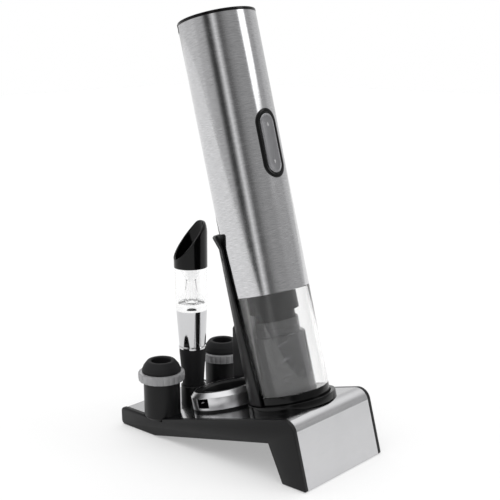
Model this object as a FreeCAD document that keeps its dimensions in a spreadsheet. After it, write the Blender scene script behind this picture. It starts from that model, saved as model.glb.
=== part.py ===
"""Electric wine opener in its display stand, with foil cutter, pouring aerator and two bottle stoppers.

Millimetres. X to the right, Y to the rear, Z up; the origin is on the ground at the middle of the stand.
The opener leans back by Tilt. Its axis and the stand's front panel are parallel, and the deck is square to both.
Opener and cradle pieces are drawn along their own Z axis and then tilted onto the deck.
"""
import math
import os

import FreeCAD
import Part
import Sketcher

os.makedirs("parts", exist_ok=True)
doc = FreeCAD.newDocument("wine_opener_set")

DIMENSIONS = {
    # stand
    "Tilt": 14.5,
    "StandLength": 160.0,
    "RearHeight": 12.5,
    "DeckMargin": 7.5,
    "CornerRadius": 8.0,
    "BodyWidth": 69.2,
    "CheekThickness": 2.9,
    "SheetThickness": 0.8,
    "ShellWall": 2.2,
    "CoverThickness": 1.6,
    "RearFootLength": 32.7,
    "LegFoot": 16.5,
    "ArchAlong": 22.0,
    "ArchDepth": 14.2,
    "NoseRadius": 3.0,
    "FootProud": 0.5,
    "FootRadius": 4.0,
    # opener
    "SeatSetback": 3.4,
    "SleeveRadius": 24.25,
    "SleeveWall": 0.8,
    "OpenerFoot": 2.3,
    "SleeveBottom": 71.1,
    "SleeveTop": 239.4,
    "CapHeight": 2.1,
    "BaseRingTop": 9.4,
    "ClearWall": 1.9,
    "GuideRadius": 16.3,
    "GuideTop": 44.5,
    "GuideCollarRadius": 13.7,
    "GuideCollarTop": 53.0,
    "GuideWall": 1.4,
    "ShroudRadius": 15.5,
    "ShroudBottom": 58.0,
    "CorkTubeRadius": 12.4,
    "HousingBottom": 84.0,
    "GearboxHeight": 28.0,
    "SunRadius": 3.0,
    "PlanetRadius": 5.6,
    "MotorRadius": 14.0,
    "MotorHeight": 38.0,
    "CellRadius": 7.2,
    "CellHeight": 50.0,
    "CellBottom": 166.0,
    "WormRadius": 4.2,
    "WireRadius": 1.15,
    "WormPitch": 9.0,
    "WormTip": 14.0,
    "WormLength": 46.0,
    "HubRadius": 6.0,
    "ButtonCentre": 159.2,
    "ButtonWidth": 18.0,
    "ButtonLength": 42.3,
    "ButtonFrame": 3.1,
    "ButtonProud": 0.6,
    "RockDegrees": 3.0,
    # cradle
    "CollarWall": 2.85,
    "CollarTop": 4.5,
    "CradleGap": 0.35,
    "CradleWall": 1.6,
    "CradleTop": 111.0,
    "LipFlare": 2.6,
    "FinThickness": 9.0,
    # foil cutter
    "CutterGap": 3.0,
    "CutterRadius": 24.4,
    "CutterHeight": 12.5,
    "CutterBore": 15.5,
    "WheelRadius": 4.0,
    "WheelThickness": 0.9,
    # accessory row
    "RowGap": 0.1,
    "StopperX": 28.8,
    "CupRadius": 11.9,
    "CupTop": 36.5,
    "FlangeRadius": 15.5,
    "DomeTop": 50.1,
    "HolderRadius": 8.3,
    "HolderTop": 26.0,
    "PlugTop": 52.1,
    "ConeTop": 78.5,
    "AeratorRadius": 10.6,
    "AeratorTop": 112.5,
    "SpoutTop": 138.1,
    # fits
    "RunGap": 0.05,
    "SlideGap": 0.25,
    "SeatGap": 0.15,
}

sheet = doc.addObject("Spreadsheet::Sheet", "Sizes")
for row, (alias, number) in enumerate(DIMENSIONS.items(), start=1):
    sheet.set(f"A{row}", alias)
    sheet.set(f"B{row}", str(number))
    sheet.setAlias(f"B{row}", alias)
doc.recompute()


class Size:
    """A number together with the sheet formula that gives it."""

    def __init__(self, value, text):
        self.value = value
        self.text = text

    def __add__(self, other):
        other = as_size(other)
        return Size(self.value + other.value, f"({self.text} + {other.text})")

    def __sub__(self, other):
        other = as_size(other)
        return Size(self.value - other.value, f"({self.text} - {other.text})")

    def __mul__(self, other):
        other = as_size(other)
        return Size(self.value * other.value, f"({self.text} * {other.text})")

    def __truediv__(self, other):
        other = as_size(other)
        return Size(self.value / other.value, f"({self.text} / {other.text})")

    def __neg__(self):
        return Size(-self.value, f"(0 - {self.text})")

    __radd__ = __add__
    __rmul__ = __mul__

    def __rsub__(self, other):
        return as_size(other) - self


def as_size(item):
    """Turns a plain number into a Size, and leaves a Size as it is."""
    if isinstance(item, Size):
        return item
    return Size(float(item), f"({item:.6f})")


def sine(angle):
    return Size(math.sin(math.radians(angle.value)), f"sin({angle.text} * 1 deg)")


def cosine(angle):
    return Size(math.cos(math.radians(angle.value)), f"cos({angle.text} * 1 deg)")


def tangent(angle):
    return Size(math.tan(math.radians(angle.value)), f"tan({angle.text} * 1 deg)")


class Table:
    """The sheet's cells as attributes."""

    def __getattr__(self, alias):
        return Size(DIMENSIONS[alias], f"Sizes.{alias}")


S = Table()
SIN = sine(S.Tilt)
COS = cosine(S.Tilt)


# ---------------------------------------------------------------- places along the deck

opener_top = S.SleeveTop + S.CapHeight
collar_bore = S.SleeveRadius + S.CradleGap + S.SeatGap
collar_radius = collar_bore + S.CollarWall
seat_along = S.SeatSetback + collar_radius
cutter_along = seat_along + collar_radius + S.CutterGap + S.CutterRadius
deck_length = cutter_along + S.CutterRadius + S.DeckMargin
panel_length = (S.RearHeight + deck_length * SIN) / COS

# ---------------------------------------------------------------- frames and placing

def front_line(height):
    """Y of the front panel's line at a height; it meets the stand's front end at its foot's height."""
    return (as_size(height) - S.FootProud) * tangent(S.Tilt) - S.StandLength / 2


def on_deck(along, above):
    """Y and Z of a point given along the deck from its front corner and above the deck."""
    y = front_line(0) + panel_length * SIN + along * COS + above * SIN
    z = panel_length * COS - along * SIN + above * COS
    return y, z


def put(item, x=0, y=0, z=0, axis=None, angle=0):
    """Places an object, with position and turn tied to the sheet."""
    turn = as_size(angle)
    direction = FreeCAD.Vector(*(axis or (0, 0, 1)))
    spot = [as_size(x), as_size(y), as_size(z)]
    base = FreeCAD.Vector(*(part.value for part in spot))
    item.Placement = FreeCAD.Placement(base, FreeCAD.Rotation(direction, turn.value))
    for letter, part in zip("xyz", spot):
        item.setExpression(f".Placement.Base.{letter}", part.text)
    if axis:
        item.setExpression(".Placement.Rotation.Angle", turn.text)
    return item


def tilt_to(item, along):
    """Stands an object, drawn along Z, on the deck at a distance from the front corner."""
    y, z = on_deck(along, as_size(0))
    return put(item, 0, y, z, (-1, 0, 0), S.Tilt)


def seat(item):
    """Places a piece of the opener or of its cradle."""
    return tilt_to(item, seat_along)


# ---------------------------------------------------------------- solids

def role(body, name):
    for feature in body.Origin.OriginFeatures:
        if feature.Role == name:
            return feature
    raise ValueError(name)


def sketch_on(body, plane, points, label):
    """A closed outline on one of the body's planes, every corner tied to the sheet."""
    sketch = body.newObject("Sketcher::SketchObject", label)
    sketch.AttachmentSupport = [(role(body, plane), "")]
    sketch.MapMode = "FlatFace"
    corners = [(as_size(u), as_size(v)) for u, v in points]
    count = len(corners)
    for index, (u, v) in enumerate(corners):
        after = corners[(index + 1) % count]
        start = FreeCAD.Vector(u.value, v.value, 0)
        end = FreeCAD.Vector(after[0].value, after[1].value, 0)
        sketch.addGeometry(Part.LineSegment(start, end), False)
    for index in range(count):
        sketch.addConstraint(Sketcher.Constraint("Coincident", index, 2, (index + 1) % count, 1))
    for index, corner in enumerate(corners):
        for kind, part in zip(("DistanceX", "DistanceY"), corner):
            number = sketch.addConstraint(Sketcher.Constraint(kind, -1, 1, index, 1, part.value))
            sketch.setExpression(f"Constraints[{number}]", part.text)
    return sketch


def turned(name, profile):
    """A solid of revolution about Z from (radius, height) corners."""
    body = doc.addObject("PartDesign::Body", name)
    body.Label = name
    sketch = sketch_on(body, "XZ_Plane", profile, name + "_profile")
    spin = body.newObject("PartDesign::Revolution", name + "_turn")
    spin.Profile = sketch
    spin.ReferenceAxis = (sketch, ["V_Axis"])
    spin.Angle = 360.0
    sketch.Visibility = False
    body.Tip = spin
    return body


def slab(name, outline, width):
    """A side view (Y, Z) given an even width about the middle plane."""
    body = doc.addObject("PartDesign::Body", name)
    body.Label = name
    sketch = sketch_on(body, "YZ_Plane", outline, name + "_outline")
    pad = body.newObject("PartDesign::Pad", name + "_pad")
    pad.Profile = sketch
    pad.Midplane = True
    width = as_size(width)
    pad.Length = width.value
    pad.setExpression("Length", width.text)
    sketch.Visibility = False
    body.Tip = pad
    return body


def soften(body, test, radius):
    """Rounds the edges of a body that pass a test."""
    doc.recompute()
    before = body.Tip
    picked = [f"Edge{i}" for i, edge in enumerate(before.Shape.Edges, start=1) if test(edge)]
    fillet = body.newObject("PartDesign::Fillet", body.Name + "_round")
    fillet.Base = (before, picked)
    radius = as_size(radius)
    fillet.Radius = radius.value
    fillet.setExpression("Radius", radius.text)
    body.Tip = fillet
    return body


def box(name, low, size):
    """An upright box from its low corner and its three sides."""
    item = doc.addObject("Part::Box", name)
    item.Label = name
    for side, length in zip(("Length", "Width", "Height"), size):
        length = as_size(length)
        setattr(item, side, length.value)
        item.setExpression(side, length.text)
    return put(item, *low)


def rod(name, radius, height, x=0, y=0, z=0, axis=None, angle=0):
    """A cylinder on its base centre."""
    item = doc.addObject("Part::Cylinder", name)
    item.Label = name
    for side, length in (("Radius", radius), ("Height", height)):
        length = as_size(length)
        setattr(item, side, length.value)
        item.setExpression(side, length.text)
    return put(item, x, y, z, axis, angle)


def joined(name, items):
    item = doc.addObject("Part::MultiFuse", name)
    item.Label = name
    item.Shapes = items
    item.Refine = True
    return item


def cut(name, base, tool):
    item = doc.addObject("Part::Cut", name)
    item.Label = name
    item.Base = base
    item.Tool = tool
    item.Refine = True
    return item


def common(name, first, second):
    item = doc.addObject("Part::MultiCommon", name)
    item.Label = name
    item.Shapes = [first, second]
    return item


def group(name, items):
    """Separate solids kept together as one piece."""
    item = doc.addObject("Part::Compound", name)
    item.Label = name
    item.Links = items
    return item


def stadium(name, width, length, depth, middle):
    """A round-ended bar lying along Z and reaching depth in front of the opener's axis."""
    half = width / 2
    straight = length - width
    low = middle - straight / 2
    core = box(name + "_core", (-half, -depth, low), (width, depth, straight))
    ends = []
    for tag, height in (("lower", low), ("upper", low + straight)):
        ends.append(rod(f"{name}_{tag}", half, depth, 0, 0, height, (1, 0, 0), 90))
    return joined(name, [core] + ends)


def pipe(name, outer, inner, low, high):
    return turned(name, [(inner, low), (outer, low), (outer, high), (inner, high)])


def parallel_to_x(edge):
    if edge.Curve.TypeId != "Part::GeomLine":
        return False
    way = edge.tangentAt(edge.FirstParameter)
    return abs(abs(way.x) - 1) < 1e-6


def near(edge, y, z, reach=1.5):
    middle = edge.CenterOfMass
    return math.hypot(middle.y - y.value, middle.z - z.value) < reach


pieces = []


def keep(item, name):
    item.Label = name
    pieces.append(item)
    return item


# ---------------------------------------------------------------- stand

half_length = S.StandLength / 2
kink_y, kink_z = on_deck(deck_length, as_size(0))
row_y = kink_y + S.RowGap + S.HolderRadius - S.DeckMargin * COS + (S.CutterHeight - 3) * SIN
arch_y, arch_z = on_deck(S.ArchAlong, -S.ArchDepth)
corner_y, corner_z = on_deck(as_size(0), as_size(0))
foot_front = half_length - S.RearFootLength
leg_back = S.LegFoot + 1 - half_length


def deck_line(inset):
    """The front, corner, kink and rear corners of the top line, moved inwards by an inset."""
    inset = as_size(inset)
    bend = deck_length + inset * tangent(S.Tilt / 2)
    return [
        (front_line(S.FootProud) + inset / COS, S.FootProud),
        on_deck(inset, -inset),
        on_deck(bend, -inset),
    ]


def side_outline(inset):
    """The stand's whole side view, with the top line moved inwards."""
    rear_z = kink_z - inset
    return deck_line(inset) + [
        (half_length, rear_z),
        (half_length, S.FootProud),
        (foot_front, S.FootProud),
        (arch_y, arch_z),
        (leg_back, S.FootProud),
    ]


def stand_slab(name, inset, width):
    body = slab(name, side_outline(inset), width)
    top = on_deck(as_size(inset), -as_size(inset))
    soften(body, lambda e: parallel_to_x(e) and near(e, *top), S.CornerRadius - inset)
    rear = (half_length, kink_z - inset)
    low_rear = (half_length, S.FootProud)
    soften(body, lambda e: parallel_to_x(e) and (near(e, *rear) or near(e, *low_rear)), S.NoseRadius)
    return body


full_body = stand_slab("body_block", S.SheetThickness, S.BodyWidth)
wall = S.SheetThickness + S.ShellWall
inner_front, inner_corner, inner_kink = deck_line(wall)
leg_slope = (arch_y - leg_back) / (arch_z - S.FootProud)
inner_rear = half_length - S.ShellWall - 1
hollow = slab("body_hollow", [
    (inner_front[0] + 3 * tangent(S.Tilt), S.FootProud + 3),
    inner_corner,
    inner_kink,
    (inner_rear, inner_kink[1]),
    (inner_rear, as_size(-1)),
    (foot_front - 1, as_size(-1)),
    (leg_back + 3 * leg_slope, S.FootProud + 3),
], S.BodyWidth - 2 * S.ShellWall)
shell = cut("body_shell", full_body, hollow)

cup_floor = kink_z - S.SheetThickness
SIDES = (("left", -1), ("right", 1))


def cup_wells(name, radius):
    """The spaces that the two stopper cups and the aerator's holder take in the deck."""
    wells = []
    for side, sign in SIDES:
        wells.append(rod(f"{name}_{side}", radius + S.SeatGap, 12, sign * S.StopperX, row_y, cup_floor))
    wells.append(rod(f"{name}_middle", S.HolderRadius + S.SeatGap, 12, 0, row_y, cup_floor))
    return joined(name, wells)


screw_y = foot_front + 8
screw_x = S.BodyWidth / 2 - 8
cover_top = S.FootProud + S.CoverThickness
feet_spots = []
for side, sign in SIDES:
    feet_spots.append((f"{side}_rear", sign * 22, half_length - 11))
    feet_spots.append((f"{side}_front", sign * 22, leg_back - 8.5))


def foot_rods(name, radius, low, height):
    """One upright rod for each rubber foot."""
    return [rod(f"{name}_{tag}", radius, height, x, y, low) for tag, x, y in feet_spots]


posts = []
pilots = []
for side, sign in SIDES:
    post_top = kink_z - wall + 0.5
    posts.append(rod(f"boss_{side}", 3.2, post_top - cover_top - 0.1, sign * screw_x, screw_y, cover_top + 0.1))
    pilots.append(rod(f"pilot_{side}", 1.1, kink_z - wall - 1, sign * screw_x, screw_y, 0))
body_with_posts = joined("body_with_posts", [shell] + posts)
foot_depth = S.FootProud + 1
body_feet = foot_rods("body_foot", S.FootRadius + 0.1, as_size(-1), foot_depth + 1.1)
body_tools = joined("body_tools", pilots + body_feet + [cup_wells("body_wells", S.CupRadius)])
keep(cut("base_body", body_with_posts, body_tools), "base_body")

cover = slab("cover_plate", [
    (leg_back + 3.2 * leg_slope + 0.1, S.FootProud + 3.2),
    (arch_y, arch_z),
    (foot_front, S.FootProud),
    (inner_rear - S.SeatGap, S.FootProud),
    (inner_rear - S.SeatGap, cover_top),
    (foot_front + 0.111 * S.CoverThickness, cover_top),
    (arch_y - 0.549 * S.CoverThickness, arch_z + 1.149 * S.CoverThickness),
    (leg_back + 3.2 * leg_slope + 0.1 - 1.115 * S.CoverThickness, S.FootProud + 3.2),
], S.BodyWidth - 2 * S.ShellWall - 2 * S.SeatGap)
cover_tools = foot_rods("cover_foot", S.FootRadius + 0.1, as_size(-1), foot_depth + 1.1)
screws = []
for side, sign in SIDES:
    x = sign * screw_x
    cover_tools.append(rod(f"way_{side}", 1.7, 4, x, screw_y, 0))
    cover_tools.append(rod(f"sink_{side}", 3.1, 1.4, x, screw_y, 0))
    head = rod(f"head_{side}", 2.9, 0.7, x, screw_y, S.FootProud + 0.1)
    shank = rod(f"shank_{side}", 1.0, 6.5, x, screw_y, S.FootProud + 0.1)
    screws.append(joined(f"screw_{side}", [head, shank]))
keep(cut("under_cover", cover, joined("cover_ways", cover_tools)), "under_cover")
keep(group("cover_screws", screws), "cover_screws")
keep(group("rubber_feet", foot_rods("foot", S.FootRadius, as_size(0), foot_depth)), "rubber_feet")

sheet_outer = deck_line(0)
sheet_inner = deck_line(S.SheetThickness)
sheet_end = half_length - S.NoseRadius - 0.6
sheet_metal = slab("sheet_metal", sheet_outer + [
    (sheet_end, kink_z),
    (sheet_end, kink_z - S.SheetThickness),
] + sheet_inner[::-1], S.BodyWidth)
soften(sheet_metal, lambda e: parallel_to_x(e) and near(e, *sheet_outer[1], reach=0.3), S.CornerRadius)
soften(sheet_metal, lambda e: parallel_to_x(e) and near(e, *sheet_inner[1], reach=0.3),
       S.CornerRadius - S.SheetThickness)
keep(cut("deck_panel", sheet_metal, cup_wells("panel_wells", S.CupRadius)), "deck_panel")

for side, sign in SIDES:
    name = f"side_cheek_{side}"
    plate = stand_slab(name + "_plate", as_size(0), S.CheekThickness - 0.05)
    put(plate, sign * ((S.BodyWidth + S.CheekThickness + 0.05) / 2), 0, 0)
    well = rod(name + "_well", S.CupRadius + S.SeatGap, 12, sign * S.StopperX, row_y, cup_floor)
    keep(cut(name, plate, well), name)

# ---------------------------------------------------------------- cradle

inner_radius = S.SleeveRadius + S.CradleGap
outer_radius = inner_radius + S.CradleWall
lip_start = S.CradleTop - 9
tube = turned("cradle_tube", [
    (inner_radius, as_size(0.6)),
    (outer_radius, as_size(0.6)),
    (outer_radius, lip_start),
    (outer_radius + S.LipFlare, S.CradleTop - 1.2),
    (outer_radius + S.LipFlare - 1.2, S.CradleTop),
    (inner_radius + S.LipFlare - 0.6, S.CradleTop - 0.4),
    (inner_radius, lip_start - 0.5),
])
front_cut = box("cradle_front", (-40, -60, -20), (80, 60, 160))
put(front_cut, -40, as_size(-0.5) - 60 * cosine(as_size(5.4)), 60 * sine(as_size(5.4)) - 20, (-1, 0, 0), 5.4)
half_tube = cut("cradle_half", tube, front_cut)
fin = slab("cradle_fin", [
    (inner_radius + 0.6, as_size(20)),
    (cutter_along - seat_along - 11.6, S.CutterHeight + 4.2),
    (outer_radius + 8.5, as_size(50.5)),
    (inner_radius + 0.6, as_size(59)),
], S.FinThickness)
soften(fin, lambda e: parallel_to_x(e) and e.CenterOfMass.y > outer_radius.value + 2, 2.0)
cradle = joined("cradle_body", [half_tube, fin])
foot_trim = pipe("cradle_trim", collar_radius + 5, inner_radius - 1, as_size(-5), S.CollarTop + 0.1)
keep(seat(cut("cradle", cradle, foot_trim)), "cradle")

collar = turned("collar_ring", [
    (collar_bore, as_size(0.05)),
    (collar_radius, as_size(0.05)),
    (collar_radius, S.CollarTop - 0.9),
    (collar_radius - 0.9, S.CollarTop),
    (collar_bore, S.CollarTop),
])
keep(seat(collar), "seat_collar")
pad_radius = S.SleeveRadius - 2.25
keep(seat(turned("seat_pad", [
    (0, 0.05),
    (pad_radius, 0.05),
    (pad_radius, 1.4),
    (pad_radius - 0.8, S.OpenerFoot - 0.05),
    (12, S.OpenerFoot - 0.05),
    (11, 1.2),
    (0, 1.2),
])), "seat_pad")

# ---------------------------------------------------------------- stopper cups and aerator holder

for side, sign in SIDES:
    name = f"stopper_cup_{side}"
    low = cup_floor + 0.05
    cup = turned(name, [
        (0, low),
        (S.CupRadius - 1.2, low),
        (S.CupRadius, low + 1.6),
        (S.CupRadius, S.CupTop),
        (S.CupRadius - 1.5, S.CupTop),
        (S.CupRadius - 1.5, low + 2.2),
        (0, low + 2.2),
    ])
    keep(put(cup, sign * S.StopperX, row_y, 0), name)

holder_low = cup_floor + 0.05
holder = turned("aerator_holder", [
    (0, holder_low),
    (S.HolderRadius, holder_low),
    (S.HolderRadius, S.HolderTop - 0.4),
    (S.HolderRadius - 0.4, S.HolderTop),
    (S.HolderRadius - 1.1, S.HolderTop),
    (S.HolderRadius - 1.1, holder_low + 1.8),
    (0, holder_low + 1.8),
])
keep(put(holder, 0, row_y, 0), "aerator_holder")

# ---------------------------------------------------------------- opener: outside

bore = S.SleeveRadius - S.SleeveWall
window_width = S.ButtonWidth - 1.6
window_length = S.ButtonLength - 1.6
plain_sleeve = pipe("sleeve_tube", S.SleeveRadius, bore, S.SleeveBottom, S.SleeveTop)
window = stadium("sleeve_window", window_width + 0.2, window_length + 0.2, as_size(30), S.ButtonCentre)


def turned_box(name, low, size, angle):
    """A box whose low corner is given before it is turned about the opener's axis."""
    item = box(name, low, size)
    x, y = (as_size(part).value for part in low[:2])
    bend = math.radians(angle)
    new_x = x * math.cos(bend) - y * math.sin(bend)
    new_y = x * math.sin(bend) + y * math.cos(bend)
    return put(item, new_x, new_y, low[2], (0, 0, 1), angle)


port_low = S.SleeveTop - 4
port_depth = S.SleeveRadius - 6.25
notch_angle = 42.0
notch = turned_box("sleeve_notch", (-4.6, port_depth, port_low), (9.2, 9, 8), notch_angle)
sleeve_tools = joined("sleeve_tools", [window, notch])
keep(seat(cut("outer_sleeve", plain_sleeve, sleeve_tools)), "outer_sleeve")

cap = turned("cap_turned", [
    (0, opener_top - 2.4),
    (bore - 2, opener_top - 2.4),
    (bore - 2, S.SleeveTop - 7),
    (bore - 0.1, S.SleeveTop - 7),
    (bore - 0.1, S.SleeveTop + 0.05),
    (S.SleeveRadius, S.SleeveTop + 0.05),
    (S.SleeveRadius, opener_top - 0.5),
    (S.SleeveRadius - 0.6, opener_top),
    (S.SleeveRadius - 2.2, opener_top),
    (S.SleeveRadius - 4.0, opener_top - 0.9),
    (0, opener_top - 0.9),
])
cap_notch = turned_box("cap_notch", (-4.6, port_depth, port_low), (9.2, 9, 5.2), notch_angle)
keep(seat(cut("top_cap", cap, cap_notch)), "top_cap")

port_block = turned_box("port_block", (-4.5, port_depth + 0.1, port_low + 0.1), (9, 8, 5), notch_angle)
port_trim = pipe("port_trim", S.SleeveRadius + 0.2, port_depth - 3, port_low - 2, port_low + 8)
port_body = common("port_body", port_block, port_trim)
port_hole = turned_box("port_hole", (-3.3, port_depth + 1.5, port_low + 1.3), (6.6, 9, 2.4), notch_angle)
keep(seat(cut("charge_port", port_body, port_hole)), "charge_port")

clear_outer = S.SleeveRadius - 0.1
keep(seat(turned("clear_sleeve", [
    (clear_outer - S.ClearWall, S.BaseRingTop + 0.05),
    (clear_outer, S.BaseRingTop + 0.05),
    (clear_outer, S.SleeveBottom - 0.05),
    (bore - 0.1, S.SleeveBottom - 0.05),
    (bore - 0.1, S.SleeveBottom + 7),
    (clear_outer - S.ClearWall, S.SleeveBottom + 7),
])), "clear_sleeve")

keep(seat(turned("base_ring", [
    (S.GuideRadius + 0.1, S.OpenerFoot),
    (S.SleeveRadius - 0.6, S.OpenerFoot),
    (S.SleeveRadius, S.OpenerFoot + 0.6),
    (S.SleeveRadius, S.BaseRingTop - 0.5),
    (S.SleeveRadius - 0.5, S.BaseRingTop),
    (S.GuideRadius + 0.1, S.BaseRingTop),
])), "base_ring")

guide_in = S.GuideRadius - S.GuideWall
neck_guide = turned("guide_turned", [
    (guide_in, S.OpenerFoot),
    (S.GuideRadius, S.OpenerFoot),
    (S.GuideRadius, S.GuideTop - 1),
    (S.GuideRadius - 1, S.GuideTop),
    (S.GuideCollarRadius, S.GuideTop),
    (S.GuideCollarRadius, S.GuideCollarTop),
    (S.GuideCollarRadius - 0.9, S.GuideCollarTop),
    (S.GuideCollarRadius - 0.9, S.GuideTop - S.GuideWall),
    (guide_in, S.GuideTop - S.GuideWall),
])
ribs = []
for index, angle in enumerate((20, 65, 110, 155, 200, 245, 290, 335)):
    bend = math.radians(angle)
    middle = S.GuideRadius - S.GuideWall / 2
    ribs.append(rod(f"guide_rib_{index}", 1.1, S.GuideTop - S.BaseRingTop - 3,
                    middle * math.cos(bend), middle * math.sin(bend), S.BaseRingTop + 1))
keep(seat(joined("neck_guide", [neck_guide] + ribs)), "neck_guide")

# ---------------------------------------------------------------- opener: drive

keep(seat(turned("drive_shroud", [
    (S.CorkTubeRadius - 0.5, S.GuideTop + 3.5),
    (S.CorkTubeRadius, S.GuideTop + 3.5),
    (S.CorkTubeRadius, S.ShroudBottom),
    (S.ShroudRadius, S.ShroudBottom),
    (S.ShroudRadius, S.SleeveBottom),
    (clear_outer - S.ClearWall - 0.15, S.SleeveBottom),
    (clear_outer - S.ClearWall - 0.15, S.HousingBottom - 0.05),
    (S.HubRadius + 2, S.HousingBottom - 0.05),
    (S.HubRadius + 2, S.HousingBottom - 3),
    (S.ShroudRadius - 1.6, S.HousingBottom - 3),
    (S.CorkTubeRadius - 0.5, S.HousingBottom - 6),
])), "drive_shroud")

hub_low = S.WormTip + S.WormLength - 1.5
helix = doc.addObject("Part::Helix", "worm_path")
for prop, amount in (("Pitch", S.WormPitch), ("Height", S.WormLength), ("Radius", S.WormRadius)):
    setattr(helix, prop, amount.value)
    helix.setExpression(prop, amount.text)
put(helix, 0, 0, S.WormTip)
wire_end = doc.addObject("Part::Circle", "worm_wire")
wire_end.Radius = S.WireRadius.value
wire_end.setExpression("Radius", S.WireRadius.text)
put(wire_end, S.WormRadius, 0, S.WormTip, (1, 0, 0), 90)
coil = doc.addObject("Part::Sweep", "worm_coil")
coil.Sections = [wire_end]
coil.Spine = (helix, ["Edge1"])
coil.Solid = True
coil.Frenet = True
hub = turned("worm_hub", [
    (0, hub_low),
    (S.HubRadius - 1, hub_low),
    (S.HubRadius, hub_low + 1),
    (S.HubRadius, hub_low + 10),
    (4, hub_low + 14),
    (4, S.HousingBottom - 4),
    (3, S.HousingBottom - 4),
    (3, S.HousingBottom + 7),
    (0, S.HousingBottom + 7),
])
keep(seat(joined("worm_screw", [coil, hub])), "worm_screw")

housing_radius = bore - 1.6
gear_top = S.HousingBottom + S.GearboxHeight
gearbox = turned("gearbox_housing", [
    (3 + S.RunGap, S.HousingBottom),
    (housing_radius - 1, S.HousingBottom),
    (housing_radius, S.HousingBottom + 1),
    (housing_radius, gear_top),
    (4.5, gear_top),
    (4.5, gear_top - 4),
    (housing_radius - 3, gear_top - 4),
    (housing_radius - 3, S.HousingBottom + 6.5),
    (3 + S.RunGap, S.HousingBottom + 6.5),
])
keep(seat(gearbox), "gearbox_housing")

sun_to_planet = S.SunRadius + S.PlanetRadius
ring_radius = S.SunRadius + 2 * S.PlanetRadius
gear_low = S.HousingBottom + 11
ring = pipe("ring_turned", housing_radius - 3.1, ring_radius + 0.1, gear_low, gear_top - 4.1)
keep(seat(ring), "ring_gear")
planet_spots = []
for index in range(3):
    bend = math.radians(120 * index)
    planet_spots.append((index + 1, sun_to_planet * math.cos(bend), sun_to_planet * math.sin(bend)))

carrier_plate = turned("carrier_plate", [
    (3.2, gear_low - 1.6), (ring_radius - 2, gear_low - 1.6), (ring_radius - 2, gear_low - 0.1),
    (3.2, gear_low - 0.1)])
carrier_parts = [carrier_plate, rod("carrier_hub", 3.4, 2.4, 0, 0, S.HousingBottom + 7)]
for index, x, y in planet_spots:
    carrier_parts.append(rod(f"carrier_pin_{index}", 1.5, 10, x, y, gear_low - 1))
    gear = pipe(f"planet_turned_{index}", S.PlanetRadius - 0.1, as_size(1.5) + S.RunGap, gear_low, gear_low + 9)
    y_deck, z_deck = on_deck(seat_along + y, as_size(0))
    keep(put(gear, x, y_deck, z_deck, (-1, 0, 0), S.Tilt), f"planet_gear_{index}")
keep(seat(joined("planet_carrier", carrier_parts)), "planet_carrier")

motor_low = gear_top + 0.1
keep(seat(turned("drive_motor", [
    (1.6 + S.RunGap, motor_low),
    (S.MotorRadius - 1, motor_low),
    (S.MotorRadius, motor_low + 1),
    (S.MotorRadius, motor_low + S.MotorHeight - 1),
    (S.MotorRadius - 1, motor_low + S.MotorHeight),
    (4, motor_low + S.MotorHeight),
    (4, motor_low + S.MotorHeight + 2),
    (0, motor_low + S.MotorHeight + 2),
    (0, motor_low + 6),
    (1.6 + S.RunGap, motor_low + 6),
])), "drive_motor")
keep(seat(turned("motor_pinion", [
    (0, gear_low + 0.5),
    (S.SunRadius - 0.1, gear_low + 0.5),
    (S.SunRadius - 0.1, gear_low + 9),
    (1.6, gear_low + 9),
    (1.6, motor_low + 5.5),
    (0, motor_low + 5.5),
])), "motor_pinion")

cells = []
pitch = S.CellRadius + 0.2
for index, (sx, sy) in enumerate(((-1, -1), (1, -1), (-1, 1), (1, 1))):
    x = sx * pitch
    y = sy * pitch
    can = rod(f"cell_can_{index}", S.CellRadius, S.CellHeight - 1.4, x, y, S.CellBottom)
    tip = rod(f"cell_tip_{index}", 2.7, S.CellHeight, x, y, S.CellBottom)
    cells.append(joined(f"cell_{index}", [can, tip]))
keep(seat(group("battery_cells", cells)), "battery_cells")

frame_tube = pipe("frame_tube", bore - 0.1, bore - 1.5, S.HousingBottom, S.SleeveTop - 7.1)
frame_window = stadium("frame_window", window_width + 2, window_length + 2, as_size(30), S.ButtonCentre)
deck_plates = []
for index, level in enumerate((S.CellBottom - 3, S.CellBottom + S.CellHeight + 0.8)):
    deck_plates.append(turned(f"frame_plate_{index}", [
        (0, level), (bore - 1, level), (bore - 1, level + 1.6), (0, level + 1.6)]))
board_front = 17.6
board_low = S.ButtonCentre - 22
board_space = box("board_space", (-11.3, -30, board_low - 0.3), (22.6, 31.5 - board_front, 52.6))
pivot_y = 5.25 - S.SleeveRadius


def pivot(name, radius, reach):
    """A rod on the rocker's turning axis, across the opener."""
    return rod(name, radius, 2 * reach, -reach, pivot_y, S.ButtonCentre, (0, 1, 0), 90)


frame_tools = joined("frame_tools", [frame_window, board_space, pivot("pivot_hole", 0.65, 12.6)])
open_frame = cut("frame_open", joined("frame_solid", [frame_tube] + deck_plates), frame_tools)
for side, sign in SIDES:
    low_x = -30 if sign < 0 else 0.05
    half = box(f"frame_half_{side}", (low_x, -30, 60), (29.95, 60, S.SleeveTop - 60))
    keep(seat(common(f"chassis_{side}", open_frame, half)), f"chassis_{side}")

board = box("board_plate", (-11, -board_front, board_low), (22, 1.2, 52))
keep(seat(group("control_board", [board])), "control_board")

switch_parts = []
for tag, sign in (("lower", -1), ("upper", 1)):
    height = S.ButtonCentre + sign * 13
    switch_parts.append(box(f"switch_{tag}", (-3, -board_front - 2.4, height - 3), (6, 2.3, 6)))
keep(seat(group("push_switches", switch_parts)), "push_switches")

# ---------------------------------------------------------------- opener: button

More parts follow.
